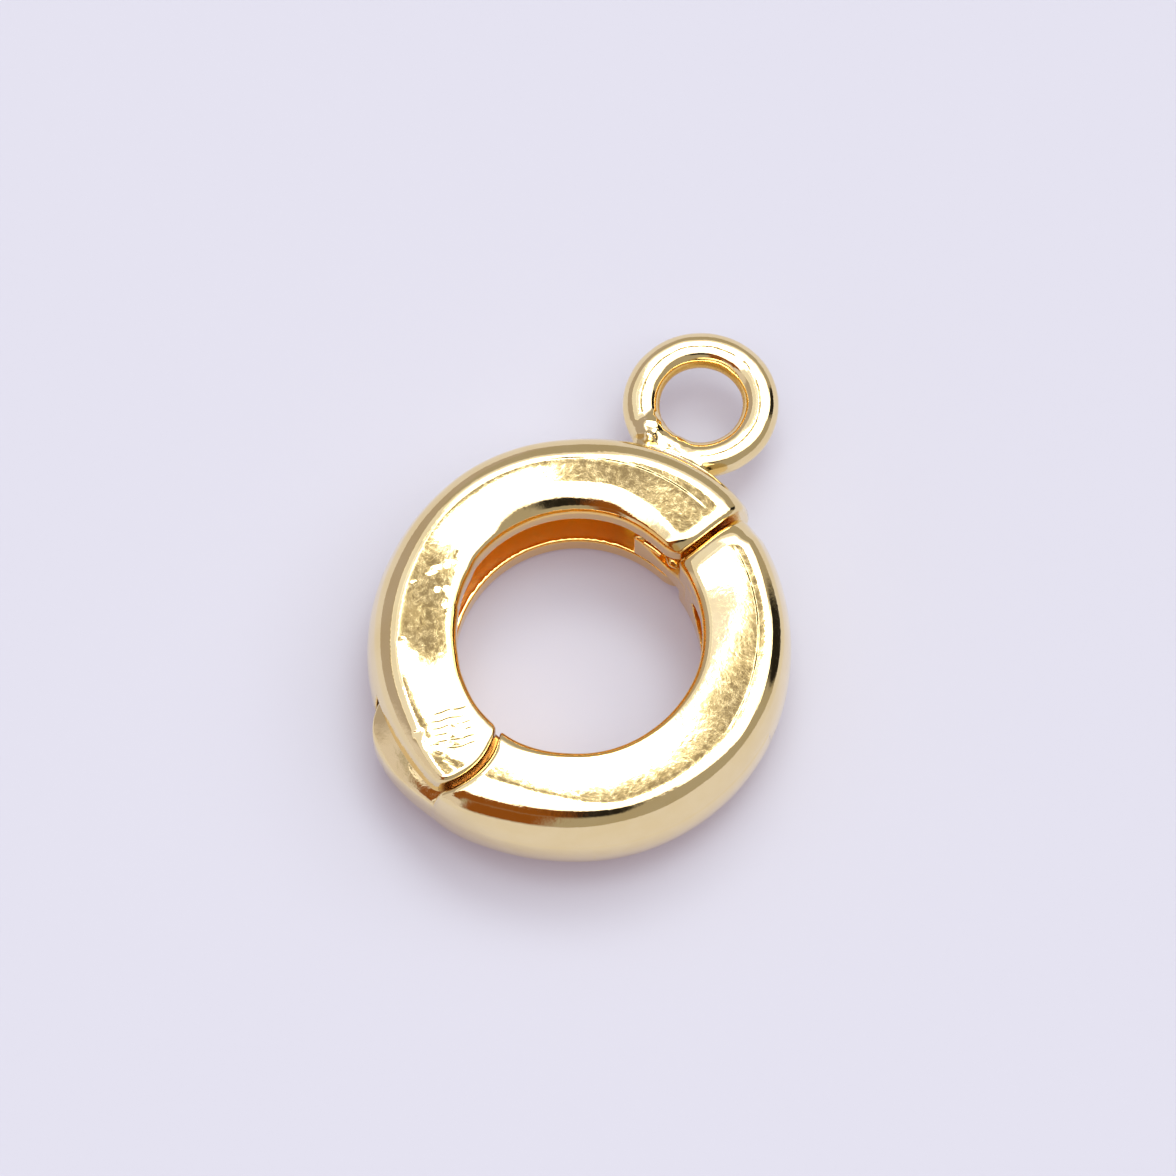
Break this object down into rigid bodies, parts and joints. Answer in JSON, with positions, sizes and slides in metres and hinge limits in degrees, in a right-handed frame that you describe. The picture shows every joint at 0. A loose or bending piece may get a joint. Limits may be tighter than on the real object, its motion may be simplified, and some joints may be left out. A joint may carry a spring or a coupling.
{
  "type": "charm holder clasp",
  "caption": "Round donut-shaped clasp that opens outward on a hinge pin, with a soldered wire loop, for hanging a charm on a chain.",
  "frame": {"origin": "middle of the outline, on the face that the closed clasp lies on", "axes": "+Z along the ring's axis, up from the surface; +Y from the ring towards the loop; +X on the gate's side"},
  "size_m": [0.012, 0.0164, 0.0042],
  "materials": {
    "gold_plate": "polished gold plate over cast brass",
    "pin_metal": "drawn brass wire, ground flush and plated"
  },
  "bodies": {
    "loop_half": {"loop_half": "gold_plate", "hinge_pin": "pin_metal"},
    "gate": {"gate": "gold_plate"}
  },
  "joints": [
    {"name": "gate_hinge", "type": "hinge", "parent": "loop_half", "child": "gate", "pos_m": [-0.00275, -0.00611, 0.0021], "axis": [0, 0, -1], "range_deg": [0, 65]}
  ]
}
